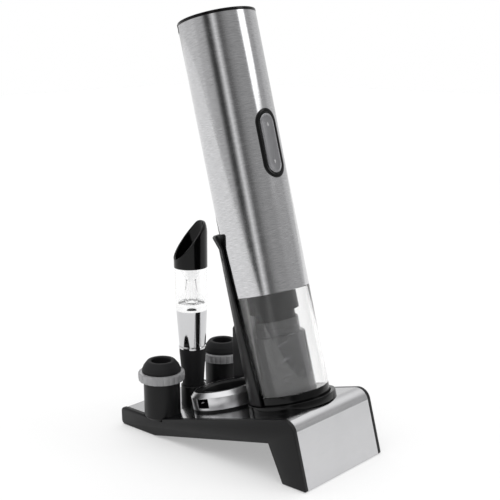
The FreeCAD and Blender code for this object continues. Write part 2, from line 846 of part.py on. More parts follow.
bezel_skin = pipe("bezel_skin", S.SleeveRadius + S.ButtonProud, S.SleeveRadius + 0.04,
                  S.ButtonCentre - 40, S.ButtonCentre + 40)
bezel_wide = common("bezel_wide", stadium("bezel_outline", S.ButtonWidth, S.ButtonLength, as_size(30),
                                          S.ButtonCentre), bezel_skin)
bezel_core = pipe("bezel_core", S.SleeveRadius + S.ButtonProud, bore - 0.05,
                  S.ButtonCentre - 40, S.ButtonCentre + 40)
bezel_neck = common("bezel_neck", stadium("bezel_inline", window_width, window_length, as_size(30),
                                          S.ButtonCentre), bezel_core)
rocker_width = S.ButtonWidth - 2 * S.ButtonFrame
rocker_length = S.ButtonLength - 2 * S.ButtonFrame
bezel_hole = stadium("bezel_hole", rocker_width + 0.6, rocker_length + 0.8, as_size(30), S.ButtonCentre)
keep(seat(cut("button_bezel", joined("bezel_solid", [bezel_wide, bezel_neck]), bezel_hole)), "button_bezel")

plate_skin = pipe("plate_skin", S.SleeveRadius + 0.35, S.SleeveRadius - 0.6,
                  S.ButtonCentre - 40, S.ButtonCentre + 40)
plate_outline = stadium("plate_outline", rocker_width, rocker_length, as_size(30), S.ButtonCentre)
keep(seat(common("rocker_plate", plate_outline, plate_skin)), "rocker_plate")

core_skin = pipe("core_skin", S.SleeveRadius - 0.62, S.SleeveRadius - 2.65, S.ButtonCentre - 40, S.ButtonCentre + 40)
core_outline = stadium("core_outline", rocker_width - 0.4, rocker_length - 0.4, as_size(30), S.ButtonCentre)
core = common("core_solid", core_outline, core_skin)
web = box("pivot_web", (-5, 0.3 - S.SleeveRadius + 2.2, S.ButtonCentre - 1), (10, 3.2, 2))
keep(seat(joined("rocker_solid", [core, web, pivot("pivot_pin", 0.6, 12.5)])), "rocker_body")

# ---------------------------------------------------------------- foil cutter


def set_cutter(item):
    """Places a piece of the foil cutter, drawn along Z about its own middle."""
    return tilt_to(item, cutter_along)


top = S.CutterHeight
band_in = S.CutterRadius - 0.9
notch_low = 3.2


def jaw_notches(name, depth_start):
    """The two openings between the jaws, one on each side."""
    left = box(name + "_left", (-30, -5, notch_low), (30 - depth_start, 10, top - 6.4))
    right = box(name + "_right", (depth_start, -5, notch_low), (30 - depth_start, 10, top - 6.4))
    return joined(name, [left, right])


band = turned("band_turned", [
    (band_in, as_size(1.6)),
    (S.CutterRadius, as_size(1.6)),
    (S.CutterRadius, top - 3),
    (S.CutterRadius - 2.6, top),
    (S.CutterRadius - 3.4, top),
    (band_in, top - 3.4),
])
keep(set_cutter(cut("cutter_band", band, jaw_notches("band_notch", as_size(18)))), "cutter_band")

core_ring = turned("core_ring", [
    (S.CutterBore, as_size(0.05)),
    (S.CutterRadius - 0.2, as_size(0.05)),
    (S.CutterRadius - 0.2, as_size(1.5)),
    (band_in - 0.1, as_size(1.5)),
    (band_in - 0.1, top - 3.5),
    (S.CutterRadius - 3.6, top - 0.2),
    (S.CutterBore + 1.2, top - 0.2),
    (S.CutterBore, top - 1.4),
])
wheel_spots = []
for index, angle in enumerate((158, 202, 338, 22)):
    bend = math.radians(angle)
    reach = S.CutterBore + 2.6
    wheel_spots.append((index + 1, reach * math.cos(bend), reach * math.sin(bend)))
wheel_level = notch_low + 2.2
slots = []
for index, x, y in wheel_spots:
    slots.append(rod(f"wheel_slot_{index}", S.WheelRadius + 0.6, S.WheelThickness + 0.8, x, y,
                     wheel_level - 0.4))
    slots.append(rod(f"pin_way_{index}", 0.8, 8, x, y, wheel_level - 3.5))
core_tools = joined("core_tools", slots + [jaw_notches("core_notch", as_size(18))])
keep(set_cutter(cut("cutter_core", core_ring, core_tools)), "cutter_core")

pins = []
for index, x, y in wheel_spots:
    pins.append(rod(f"wheel_pin_{index}", 0.75, 7.6, x, y, wheel_level - 3.3))
keep(set_cutter(group("wheel_pins", pins)), "wheel_pins")
for index, x, y in wheel_spots:
    name = f"cutter_wheel_{index}"
    edge = 0.1
    disc = turned(name, [
        (0.75 + S.RunGap, wheel_level),
        (S.WheelRadius - 1, wheel_level),
        (S.WheelRadius, wheel_level + S.WheelThickness / 2 - edge),
        (S.WheelRadius, wheel_level + S.WheelThickness / 2 + edge),
        (S.WheelRadius - 1, wheel_level + S.WheelThickness),
        (0.75 + S.RunGap, wheel_level + S.WheelThickness),
    ])
    y_deck, z_deck = on_deck(cutter_along + y, as_size(0))
    keep(put(disc, x, y_deck, z_deck, (-1, 0, 0), S.Tilt), name)

# ---------------------------------------------------------------- aerator

plug_low = holder_low + 1.8 + S.SeatGap
plug_radius = S.HolderRadius - 1.1 - S.SlideGap
keep(put(turned("aerator_plug", [
    (3.4, plug_low),
    (plug_radius - 0.8, plug_low),
    (plug_radius, plug_low + 1),
    (plug_radius, S.HolderTop - 2),
    (plug_radius + 0.3, S.HolderTop + 2.5),
    (plug_radius + 1.9, S.PlugTop - 3),
    (plug_radius + 1.9, S.PlugTop - 0.05),
    (3.4, S.PlugTop - 0.05),
]), 0, row_y, 0), "aerator_plug")

keep(put(turned("aerator_cone", [
    (3.4, S.PlugTop),
    (9.3, S.PlugTop),
    (9.3, S.PlugTop + 1),
    (8.9, S.PlugTop + 2),
    (S.AeratorRadius - 0.3, S.ConeTop - 1),
    (S.AeratorRadius - 0.3, S.ConeTop),
    (3.4, S.ConeTop),
]), 0, row_y, 0), "aerator_cone")

keep(put(turned("aerator_chamber", [
    (3.4, S.ConeTop + 0.05),
    (S.AeratorRadius, S.ConeTop + 0.05),
    (S.AeratorRadius, S.AeratorTop),
    (S.AeratorRadius - 1.6, S.AeratorTop),
    (S.AeratorRadius - 1.6, S.ConeTop + 5),
    (3.4, S.ConeTop + 5),
]), 0, row_y, 0), "aerator_chamber")

keep(put(turned("aerator_nozzle", [
    (2.2, S.ConeTop + 5.1),
    (4.2, S.ConeTop + 5.1),
    (4.2, S.ConeTop + 12),
    (3.2, S.ConeTop + 20),
    (S.AeratorRadius - 1.8, S.AeratorTop - 3),
    (S.AeratorRadius - 1.8, S.AeratorTop - 1),
    (S.AeratorRadius - 3.0, S.AeratorTop - 2),
    (2.2, S.ConeTop + 21),
]), 0, row_y, 0), "aerator_nozzle")

spout_radius = S.AeratorRadius + 0.5
spout_low = S.AeratorTop - 5
spout_block = turned("spout_block", [
    (S.AeratorRadius + 0.05, spout_low),
    (spout_radius, spout_low),
    (spout_radius + 0.4, S.SpoutTop - 2.5),
    (spout_radius - 1.2, S.SpoutTop),
    (0, S.SpoutTop),
    (0, S.SpoutTop - 0.1),
    (S.AeratorRadius - 2.2, S.SpoutTop - 0.1),
    (S.AeratorRadius - 2.2, S.AeratorTop + 0.05),
    (S.AeratorRadius + 0.05, S.AeratorTop + 0.05),
])
lean = 50.0
bevel = box("spout_bevel", (-40, -40, 0), (80, 80, 60))
bevel_axis = FreeCAD.Vector(0.743, 0.669, 0)
bevel_turn = FreeCAD.Rotation(bevel_axis, -lean)
offset = bevel_turn.multVec(FreeCAD.Vector(-40, -40, 0))
pivot_z = S.AeratorTop + 14.5
put(bevel, offset.x, offset.y, pivot_z + offset.z, (0.743, 0.669, 0), -lean)
keep(put(cut("aerator_spout", spout_block, bevel), 0, row_y, 0), "aerator_spout")

# ---------------------------------------------------------------- stoppers

flange_low = S.CupTop + 0.6
for side, sign in SIDES:
    x = sign * S.StopperX
    cup_in = S.CupRadius - 1.5 - S.SlideGap
    low = cup_floor + 2.2 + 0.3
    keep(put(turned(f"stopper_{side}_plug", [
        (2.0, low),
        (cup_in - 2.2, low),
        (cup_in - 1.4, low + 3),
        (cup_in - 0.6, low + 3.4),
        (cup_in - 1.6, low + 7),
        (cup_in - 0.2, low + 7.4),
        (cup_in - 1.2, low + 11),
        (cup_in - 0.2, low + 11.4),
        (cup_in - 0.8, flange_low - 0.05),
        (2.0, flange_low - 0.05),
    ]), x, row_y, 0), f"stopper_{side}_plug")
    keep(put(turned(f"stopper_{side}_flange", [
        (2.0, flange_low),
        (S.FlangeRadius - 1.4, flange_low),
        (S.FlangeRadius, flange_low + 1.4),
        (S.FlangeRadius, flange_low + 3.6),
        (S.FlangeRadius - 1.6, flange_low + 5.2),
        (S.FlangeRadius - 2.6, flange_low + 5.6),
        (2.0, flange_low + 5.6),
    ]), x, row_y, 0), f"stopper_{side}_flange")
    dome_low = flange_low + 5.65
    keep(put(turned(f"stopper_{side}_dome", [
        (6.6, dome_low),
        (12.7, dome_low),
        (12.7, dome_low + 1.6),
        (11.6, dome_low + 4.2),
        (9.6, S.DomeTop - 0.6),
        (8.9, S.DomeTop),
        (7.2, S.DomeTop),
        (6.6, S.DomeTop - 0.6),
    ]), x, row_y, 0), f"stopper_{side}_dome")
    keep(put(turned(f"stopper_{side}_valve", [
        (0, dome_low + 0.05),
        (6.4, dome_low + 0.05),
        (6.4, dome_low + 1.4),
        (3.2, dome_low + 2.4),
        (2.4, dome_low + 4.2),
        (0, dome_low + 4.6),
    ]), x, row_y, 0), f"stopper_{side}_valve")

# ---------------------------------------------------------------- check and write

doc.recompute()
faulty = [item.Name for item in doc.Objects if "Invalid" in item.State or "Error" in item.State]
if faulty:
    raise RuntimeError(f"objects with errors: {faulty}")
for piece in pieces:
    shape = piece.Shape
    if shape.isNull() or not shape.isValid():
        raise RuntimeError(f"bad shape: {piece.Label}")
    if not shape.Solids:
        raise RuntimeError(f"no solid: {piece.Label}")
    print(f"{piece.Label:24s} solids {len(shape.Solids)} volume {shape.Volume:10.1f}")
    shape.exportStep(f"parts/{piece.Label}.step")
print("pieces", len(pieces))
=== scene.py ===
"""Looks of an electric wine opener leaning in its stand, with foil cutter, aerator and two bottle stoppers.

Shapes are worked out in millimetres and scaled to metres as their mesh is made.
Angles are in degrees unless a name says otherwise. MERGE is the distance in metres below which corners are
one, FIT is the gap between fixed pieces, and FINE_LINES and CLOUD_SCALE are pattern repeats in a metre.
"""
from __future__ import annotations

import logging
import math
from dataclasses import dataclass
from enum import Enum
from typing import Callable

import bmesh
import bpy
import numpy as np
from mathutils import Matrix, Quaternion, Vector


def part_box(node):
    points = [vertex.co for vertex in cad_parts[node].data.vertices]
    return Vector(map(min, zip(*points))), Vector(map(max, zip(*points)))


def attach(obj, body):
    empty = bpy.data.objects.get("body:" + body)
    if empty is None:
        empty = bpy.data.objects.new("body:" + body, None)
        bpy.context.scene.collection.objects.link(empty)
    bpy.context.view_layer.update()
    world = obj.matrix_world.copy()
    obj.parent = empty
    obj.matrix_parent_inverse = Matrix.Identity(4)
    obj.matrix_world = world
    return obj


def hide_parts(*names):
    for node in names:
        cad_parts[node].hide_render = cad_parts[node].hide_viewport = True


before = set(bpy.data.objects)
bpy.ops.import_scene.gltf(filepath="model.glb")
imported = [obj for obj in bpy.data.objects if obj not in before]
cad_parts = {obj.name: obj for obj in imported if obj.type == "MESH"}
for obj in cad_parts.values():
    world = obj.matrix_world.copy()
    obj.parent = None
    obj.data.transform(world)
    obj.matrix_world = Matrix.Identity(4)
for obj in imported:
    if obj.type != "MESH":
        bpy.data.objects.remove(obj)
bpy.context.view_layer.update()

MM = 0.001
MERGE = 2e-6
LEAN = 14.5
FIT = 0.05
COLLAR_TOP = 4.5
FINE_LINES = 9000.0
CLOUD_SCALE = 45.0
Array = np.ndarray
Ripple = Callable[[Array, Array, Array], Array]
log = logging.getLogger("wine_opener_set")


# ---------------------------------------------------------------- outlines and surfaces

def rounded(corners: Array, radii: float | list[float] = 0.3, steps: int = 5) -> Array:
    """Softens the corners of a closed outline.

    Each corner becomes a quadratic curve: start (1-s)^2 + corner 2s(1-s) + end s^2, where start and end lie
    on the two sides at the distance where an arc of the radius would leave them.

    Args:
        corners: the outline's corners in order, one row each.
        radii: one radius for every corner, or one for each.
        steps: points on each curve.

    Returns:
        The softened outline without repeated points.
    """
    corner = np.asarray(corners, float)
    radius = np.broadcast_to(np.asarray(radii, float), (len(corner),))
    back, ahead = np.roll(corner, 1, 0) - corner, np.roll(corner, -1, 0) - corner
    back_length, ahead_length = np.linalg.norm(back, axis=1), np.linalg.norm(ahead, axis=1)
    back, ahead = back / back_length[:, None], ahead / ahead_length[:, None]
    half = np.arccos(np.clip((back * ahead).sum(1), -0.9999, 0.9999)) / 2
    reach = np.minimum(radius / np.tan(half), 0.48 * np.minimum(back_length, ahead_length))[:, None]
    share = np.linspace(0, 1, steps)[None, :, None]
    start, end = (corner + back * reach)[:, None], (corner + ahead * reach)[:, None]
    curve = start * (1 - share) ** 2 + corner[:, None] * 2 * share * (1 - share) + end * share ** 2
    points = curve.reshape(-1, corner.shape[1])
    return points[np.linalg.norm(points - np.roll(points, 1, 0), axis=1) > 1e-5]


def wall(corners: Array, radius: float = 0.3) -> Array:
    """A turned piece's section: a closed ring of (radius, height) points with soft corners."""
    return rounded(np.asarray(corners, float), radius)


def solid(corners: Array, radius: float = 0.3) -> Array:
    """A turned piece's section from axis to axis: the corners between the two ends are softened."""
    corner = np.asarray(corners, float)
    on_axis = np.isclose(corner[:, 0], 0)
    return rounded(corner, np.where(on_axis, 0.0, radius))


def turned(profile: Array, segments: int = 128, ripple: Ripple | None = None) -> Array:
    """Turns a section about Z: x = r cos(a), y = r sin(a), z = height.

    Args:
        profile: (radius, height) points.
        segments: steps round the axis.
        ripple: gives an added radius from arrays of angle, radius and height.

    Returns:
        A grid of points, one row for each section point.
    """
    angle = np.linspace(0, 2 * np.pi, segments, endpoint=False)[None, :]
    radius = np.repeat(profile[:, :1], segments, 1)
    height = np.repeat(profile[:, 1:], segments, 1)
    if ripple is not None:
        radius = radius + ripple(angle, radius, height)
    return np.stack([radius * np.cos(angle), radius * np.sin(angle), height], -1)


def on_tube(across: Array, along: Array, radius: Array) -> Array:
    """Wraps flat points onto a tube about Z, on its front side: y = -sqrt(radius^2 - across^2)."""
    return np.stack([across, -np.sqrt(np.maximum(radius ** 2 - across ** 2, 0)), along], -1)


def stadium_rings(width: float, length: float, middle: float, insets: Array,
                  steps: int = 64) -> tuple[Array, Array]:
    """Rings of a round-ended bar, each moved inwards by an inset.

    A point is the bar's middle line moved out by (half width - inset) in the direction a.

    Args:
        width: the bar's full width.
        length: the bar's full length.
        middle: height of its centre.
        insets: one inset for each ring.
        steps: points on each ring, an even number.

    Returns:
        Two grids, across and along, one row for each ring.
    """
    angle = (np.arange(steps) + 0.5) * 2 * np.pi / steps
    reach = (width / 2 - np.asarray(insets, float))[:, None]
    straight = (length - width) / 2
    across = reach * np.cos(angle)[None]
    along = middle + np.sign(np.sin(angle))[None] * straight + reach * np.sin(angle)[None]
    return across, along


def mesh_of(name: str, points: Array, faces: Array | list, sharp: float = 38.0) -> bpy.types.Mesh:
    """Makes a closed smooth-shaded mesh from millimetre points.

    Args:
        name: the mesh's name.
        points: point rows.
        faces: rows of point numbers.
        sharp: angle between faces above which an edge stays sharp.

    Returns:
        The mesh in metres, with doubles merged and normals outwards.
    """
    mesh = bpy.data.meshes.new(name)
    mesh.from_pydata((np.asarray(points) * MM).tolist(), [], np.asarray(faces).tolist())
    work = bmesh.new()
    work.from_mesh(mesh)
    bmesh.ops.remove_doubles(work, verts=work.verts, dist=MERGE)
    bmesh.ops.recalc_face_normals(work, faces=work.faces)
    work.to_mesh(mesh)
    work.free()
    mesh.shade_smooth()
    mesh.set_sharp_from_angle(angle=math.radians(sharp))
    return mesh


def grid_faces(rows: int, columns: int, ring: bool) -> Array:
    """Quads of a grid that wraps round its columns, and round its rows too if it is a ring."""
    number = np.arange(rows * columns).reshape(rows, columns)
    below = number if ring else number[:-1]
    above = np.roll(number, -1, 0) if ring else number[1:]
    quads = [below, np.roll(below, -1, 1), np.roll(above, -1, 1), above]
    return np.stack([q.ravel() for q in quads], 1)


def surface(name: str, grid: Array, ring: bool = True, sharp: float = 38.0) -> bpy.types.Mesh:
    """A mesh from a grid of points that wraps round its columns."""
    rows, columns = grid.shape[:2]
    return mesh_of(name, grid.reshape(-1, 3), grid_faces(rows, columns, ring), sharp)


def eased(name: str, node: str, width: float, sharp: float = 38.0) -> bpy.types.Mesh:
    """A copy of a CAD node whose edges are broken by a small bevel.

    The node's loose triangles are joined where their points agree, flat areas become single faces, and each
    edge that turns more than the sharp angle is bevelled. The bevel's own faces stay smooth across.

    Args:
        name: the new mesh's name.
        node: the CAD node.
        width: the bevel's width in millimetres.
        sharp: the angle above which an edge is bevelled.

    Returns:
        The new mesh.
    """
    flat, crease = 0.4, 50.0
    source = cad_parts[node].data
    points = np.zeros(len(source.vertices) * 3)
    source.vertices.foreach_get("co", points)
    corners = np.zeros(len(source.loops), int)
    source.loops.foreach_get("vertex_index", corners)
    mesh = bpy.data.meshes.new(name)
    mesh.from_pydata(points.reshape(-1, 3).tolist(), [], corners.reshape(-1, 3).tolist())
    work = bmesh.new()
    work.from_mesh(mesh)
    bmesh.ops.remove_doubles(work, verts=work.verts, dist=MERGE)
    bmesh.ops.dissolve_limit(work, angle_limit=math.radians(flat), verts=work.verts, edges=work.edges)
    limit = math.radians(sharp)
    edges = [e for e in work.edges if len(e.link_faces) == 2 and e.calc_face_angle(0) > limit]
    bmesh.ops.bevel(work, geom=edges, offset=width * MM, offset_type="OFFSET", segments=2, profile=0.5,
                    affect="EDGES", clamp_overlap=True)
    work.to_mesh(mesh)
    work.free()
    mesh.shade_smooth()
    mesh.set_sharp_from_angle(angle=math.radians(crease))
    return mesh


@dataclass(frozen=True)
class Stance:
    """An upright working frame: its origin's place in the row frame, and how far it leans to the rear."""

    x: float
    y: float
    z: float
    lean: float = 0.0

    def place(self, points: Array) -> Array:
        """Moves points from the working frame to the row frame."""
        sine, cosine = math.sin(math.radians(self.lean)), math.cos(math.radians(self.lean))
        x, y, z = np.moveaxis(np.asarray(points, float), -1, 0)
        return np.stack([x + self.x, y * cosine + z * sine + self.y, z * cosine - y * sine + self.z], -1)


def centre(node: str) -> tuple[float, float, float]:
    """The middle of a CAD node's box in millimetres."""
    low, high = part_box(node)
    return tuple((low[i] + high[i]) / 2 / MM for i in range(3))


def leaning_seat() -> Stance:
    """The opener's working frame: its axis leans back and starts on the deck under the collar."""
    _, y, z = centre("seat_collar")
    rise = (FIT + COLLAR_TOP) / 2
    lean = math.radians(LEAN)
    return Stance(0.0, y - rise * math.sin(lean), z - rise * math.cos(lean), LEAN)


# ---------------------------------------------------------------- shader groups

class Texture(Enum):
    """How a surface's fine texture runs."""

    MOULDED = (1.0, 1.0, 1.0)
    DRAWN_ROUND = (1.0, 1.0, 42.0)
    DRAWN_ACROSS = (1.0, 42.0, 42.0)
    DRAWN_ALONG = (42.0, 42.0, 1.0)


class Graph:
    """A short way to add and join shader nodes."""

    def __init__(self, tree: bpy.types.NodeTree) -> None:
        """Keeps the tree that nodes go into."""
        self.tree = tree

    def add(self, kind: str, inputs: dict[str | int, object] | None = None,
            **settings: object) -> bpy.types.Node:
        """Adds a node, sets its properties, and fills or links its inputs.

        Args:
            kind: the node's type name.
            inputs: a value or another node's output for each input.
            settings: the node's own properties.

        Returns:
            The new node.
        """
        node = self.tree.nodes.new(kind)
        for key, value in settings.items():
            setattr(node, key, value)
        for key, value in (inputs or {}).items():
            if isinstance(value, bpy.types.NodeSocket):
                self.tree.links.new(value, node.inputs[key])
            else:
                node.inputs[key].default_value = value
        return node

    def math(self, operation: str, first: object, second: object = 0.0) -> bpy.types.NodeSocket:
        """One arithmetic step."""
        return self.add("ShaderNodeMath", {0: first, 1: second}, operation=operation).outputs[0]

    def spread(self, value: object, low: float, high: float, to_low: float = 0.0, to_high: float = 1.0,
               smooth: bool = False) -> bpy.types.NodeSocket:
        """Maps a value's range to another, held at both ends."""
        kind = "SMOOTHSTEP" if smooth else "LINEAR"
        inputs = {"Value": value, "From Min": low, "From Max": high, "To Min": to_low, "To Max": to_high}
        return self.add("ShaderNodeMapRange", inputs, interpolation_type=kind, clamp=True).outputs["Result"]


def shader_group(name: str, numbers: dict[str, float],
                 outputs: list[str]) -> tuple[bpy.types.NodeTree, Graph, bpy.types.Node]:
    """Starts a shader group with a Vector input, number inputs and number outputs.

    Args:
        name: the group's name.
        numbers: each number input with its usual value.
        outputs: names of the number outputs.

    Returns:
        The group, its graph, and its input node.
    """
    group = bpy.data.node_groups.new(name, "ShaderNodeTree")
    group.interface.new_socket("Vector", in_out="INPUT", socket_type="NodeSocketVector")
    for key, value in numbers.items():
        socket = group.interface.new_socket(key, in_out="INPUT", socket_type="NodeSocketFloat")
        socket.default_value = value
    for key in outputs:
        group.interface.new_socket(key, in_out="OUTPUT", socket_type="NodeSocketFloat")
    graph = Graph(group)
    return group, graph, graph.add("NodeGroupInput")


def make_grain_group() -> bpy.types.NodeTree:
    """Fine texture: a close noise with a finer one on it, as a height and as a tone."""
    group, graph, source = shader_group("fine_grain", {"Scale": 900.0}, ["Height", "Tone"])
    place, scale = source.outputs["Vector"], source.outputs["Scale"]
    coarse = graph.add("ShaderNodeTexNoise", {
        "Vector": place, "Scale": scale, "Detail": 4.0, "Roughness": 0.62})
    finer = graph.math("MULTIPLY", scale, 3.7)
    fine = graph.add("ShaderNodeTexNoise", {"Vector": place, "Scale": finer, "Detail": 2.0})
    height = graph.math("ADD", coarse.outputs[0], graph.math("MULTIPLY", fine.outputs[0], 0.5))
    tone = graph.spread(coarse.outputs[0], 0.3, 0.7)
    graph.add("NodeGroupOutput", {"Height": height, "Tone": tone})
    return group


def make_cloud_group() -> bpy.types.NodeTree:
    """Broad unevenness of gloss, as handling and moulding leave it.

    A slow noise whose place is first scaled by another noise and then moved along by a little of it.
    """
    group, graph, source = shader_group("uneven_gloss", {"Scale": CLOUD_SCALE}, ["Mask"])
    place, scale = source.outputs["Vector"], source.outputs["Scale"]
    bend = graph.add("ShaderNodeTexNoise", {"Vector": place, "Scale": scale}).outputs["Color"]
    shift = graph.add("ShaderNodeVectorMath", {0: bend, "Scale": 0.012}, operation="SCALE").outputs[0]
    moved = graph.add("ShaderNodeVectorMath", {0: place, 1: bend, 2: shift}, operation="MULTIPLY_ADD")
    cloud = graph.add("ShaderNodeTexNoise", {
        "Vector": moved.outputs[0], "Scale": scale, "Detail": 5.0, "Roughness": 0.55})
    graph.add("NodeGroupOutput", {"Mask": graph.spread(cloud.outputs[0], 0.32, 0.68, smooth=True)})
    return group


GRAIN = make_grain_group()
CLOUD = make_cloud_group()
MADE: dict[str, bpy.types.Material] = {}


# ---------------------------------------------------------------- finishes

@dataclass(frozen=True)
class Finish:
    """A surface finish: its colour and gloss, and how fine texture and broad unevenness change them.

    Attributes:
        name: the material's name.
        slot: the name of the record's material slot for it; not used.
        colour: linear base colour.
        roughness: middle of the roughness range.
        metallic: 1 for bare metal, else 0.
        transmission: share of light let through.
        ior: refractive index of what lets light through.
        specular: strength of a plastic's mirror part, 0.5 being the usual.
        texture: how the fine texture runs.
        scale: fine texture repeats in a metre.
        depth: height of the fine texture in millimetres.
        tone: share by which the fine texture lightens and darkens the colour.
        uneven: how far broad unevenness moves the roughness.
        lean: turn of the texture about X, to follow leaning pieces.
    """

    name: str
    slot: str
    colour: tuple[float, float, float]
    roughness: float
    metallic: float = 0.0
    transmission: float = 0.0
    ior: float = 1.5
    specular: float = 0.5
    texture: Texture = Texture.MOULDED
    scale: float = 1600.0
    depth: float = 0.004
    tone: float = 0.05
    uneven: float = 0.04
    lean: float = 0.0

    def material(self) -> bpy.types.Material:
        """Builds the material once and then gives the same one again."""
        if self.name not in MADE:
            made = bpy.data.materials.new(self.name)
            made.use_nodes = True
            made.node_tree.nodes.clear()
            self.wire(Graph(made.node_tree))
            MADE[self.name] = made
        return MADE[self.name]

    def wire(self, graph: Graph) -> None:
        """Joins the finish's texture to a Principled shader."""
        place = graph.add("ShaderNodeTexCoord").outputs["Object"]
        turn = graph.add("ShaderNodeMapping", {"Vector": place, "Rotation": (math.radians(self.lean), 0, 0)})
        stretch = graph.add("ShaderNodeMapping", {"Vector": turn.outputs[0], "Scale": self.texture.value})
        grain = graph.add("ShaderNodeGroup", node_tree=GRAIN)
        graph.tree.links.new(stretch.outputs[0], grain.inputs["Vector"])
        grain.inputs["Scale"].default_value = self.scale / max(self.texture.value)
        cloud = graph.add("ShaderNodeGroup", node_tree=CLOUD)
        graph.tree.links.new(place, cloud.inputs["Vector"])
        cloud.inputs["Scale"].default_value = CLOUD_SCALE
        dark = tuple(c * (1 - self.tone) for c in self.colour) + (1.0,)
        light = tuple(min(c * (1 + self.tone), 1.0) for c in self.colour) + (1.0,)
        shade = graph.add("ShaderNodeMix", {0: grain.outputs["Tone"]}, data_type="RGBA")
        colour_in = [s for s in shade.inputs if s.type == "RGBA"]
        colour_in[0].default_value, colour_in[1].default_value = dark, light
        colour = [s for s in shade.outputs if s.type == "RGBA"][0]
        low = max(self.roughness - self.uneven, 0.0)
        rough = graph.spread(cloud.outputs["Mask"], 0.0, 1.0, low, self.roughness + self.uneven)
        bump = graph.add("ShaderNodeBump", {"Height": grain.outputs["Height"], "Strength": 1.0,
                                            "Distance": self.depth * MM})
        shader = graph.add("ShaderNodeBsdfPrincipled", {
            "Base Color": colour, "Roughness": rough, "Normal": bump.outputs["Normal"],
            "Metallic": self.metallic, "Transmission Weight": self.transmission, "IOR": self.ior,
            "Specular IOR Level": self.specular})
        graph.add("ShaderNodeOutputMaterial", {"Surface": shader.outputs["BSDF"]})


TUBE_STEEL = Finish("brushed_tube_steel", "brushed_steel", (0.58, 0.58, 0.59), 0.12, metallic=1.0,
                    texture=Texture.DRAWN_ROUND, scale=FINE_LINES, depth=0.0002, tone=0.3, uneven=0.03,
                    lean=LEAN)
DECK_STEEL = Finish("brushed_deck_steel", "brushed_steel", (0.58, 0.58, 0.59), 0.18, metallic=1.0,
                    texture=Texture.DRAWN_ACROSS, scale=FINE_LINES, depth=0.0002, tone=0.06, uneven=0.03)
RING_STEEL = Finish("turned_ring_steel", "brushed_steel", (0.66, 0.66, 0.67), 0.3, metallic=1.0,
                    texture=Texture.DRAWN_ROUND, scale=FINE_LINES, depth=0.0005, tone=0.04, uneven=0.02,
                    lean=LEAN)
INSERT_STEEL = Finish("button_insert_steel", "brushed_steel", (0.3, 0.3, 0.31), 0.3, metallic=1.0,
                      texture=Texture.DRAWN_ALONG, scale=FINE_LINES, depth=0.001, tone=0.06, uneven=0.03,
                      lean=LEAN)
SATIN_BLACK = Finish("satin_black_plastic", "black_plastic", (0.007, 0.007, 0.0075), 0.38, specular=0.22,
                     depth=0.002)
MATT_BLACK = Finish("fine_grained_black_plastic", "black_plastic", (0.009, 0.009, 0.0095), 0.5, specular=0.22,
                    depth=0.004)
GLOSS_BLACK = Finish("gloss_black_plastic", "gloss_black", (0.002, 0.002, 0.0022), 0.14, specular=0.22,
                     depth=0.0003, uneven=0.03)
CLEAR = Finish("water_clear_plastic", "clear_plastic", (0.99, 0.99, 0.99), 0.02, transmission=1.0, ior=1.49,
               depth=0.0, tone=0.004, uneven=0.01)
SMOKED = Finish("smoke_grey_plastic", "smoked_plastic", (0.3, 0.3, 0.31), 0.06, transmission=0.9, ior=1.5,
                depth=0.0001, uneven=0.02)
CLOUDED = Finish("clouded_clear_plastic", "clear_plastic", (0.55, 0.55, 0.56), 0.12, transmission=0.55,
                 ior=1.49, depth=0.0005, tone=0.05, uneven=0.05)
PALE_INK = Finish("pale_ink", "brushed_steel", (0.45, 0.45, 0.45), 0.5, specular=0.3, depth=0.0005,
                  tone=0.05)
CHROME = Finish("polished_chrome", "chrome", (0.6, 0.6, 0.61), 0.08, metallic=1.0, depth=0.00005, tone=0.02,
                uneven=0.02)
RUBBER = Finish("matt_rubber", "rubber", (0.014, 0.014, 0.015), 0.62, specular=0.2, depth=0.006, uneven=0.06)
SCREW = Finish("bright_screw_steel", "screw_steel", (0.5, 0.5, 0.5), 0.28, metallic=1.0, scale=3000.0,
               depth=0.002)
GEAR = Finish("sintered_gear_metal", "gear_metal", (0.36, 0.35, 0.33), 0.38, metallic=1.0, depth=0.006)
CELL = Finish("printed_cell_wrap", "cell_wrap", (0.05, 0.2, 0.4), 0.35, depth=0.002)
BOARD = Finish("green_board_lacquer", "board_green", (0.015, 0.11, 0.04), 0.4, depth=0.004, scale=2500.0)


# ---------------------------------------------------------------- pieces

def show(name: str, mesh: bpy.types.Mesh, body: str, finish: Finish, *nodes: str) -> bpy.types.Object:
    """Puts a new piece in the scene.

    Args:
        name: the piece's name.
        mesh: its finished mesh.
        body: the CAD body that it moves with.
        finish: its finish.
        nodes: the CAD nodes that it stands for.

    Returns:
        The new object.
    """
    piece = bpy.data.objects.new(name, mesh)
    bpy.context.scene.collection.objects.link(piece)
    mesh.materials.clear()
    mesh.materials.append(finish.material())
    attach(piece, body)
    if nodes:
        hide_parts(*nodes)
    log.info("built %s on %s (%d faces)", name, body, len(mesh.polygons))
    return piece


def dress(node: str, finish: Finish) -> None:
    """Gives a CAD node that stays visible its finish."""
    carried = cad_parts[node]
    carried.data.materials.clear()
    carried.data.materials.append(finish.material())
    log.info("dressed %s in %s", node, finish.name)


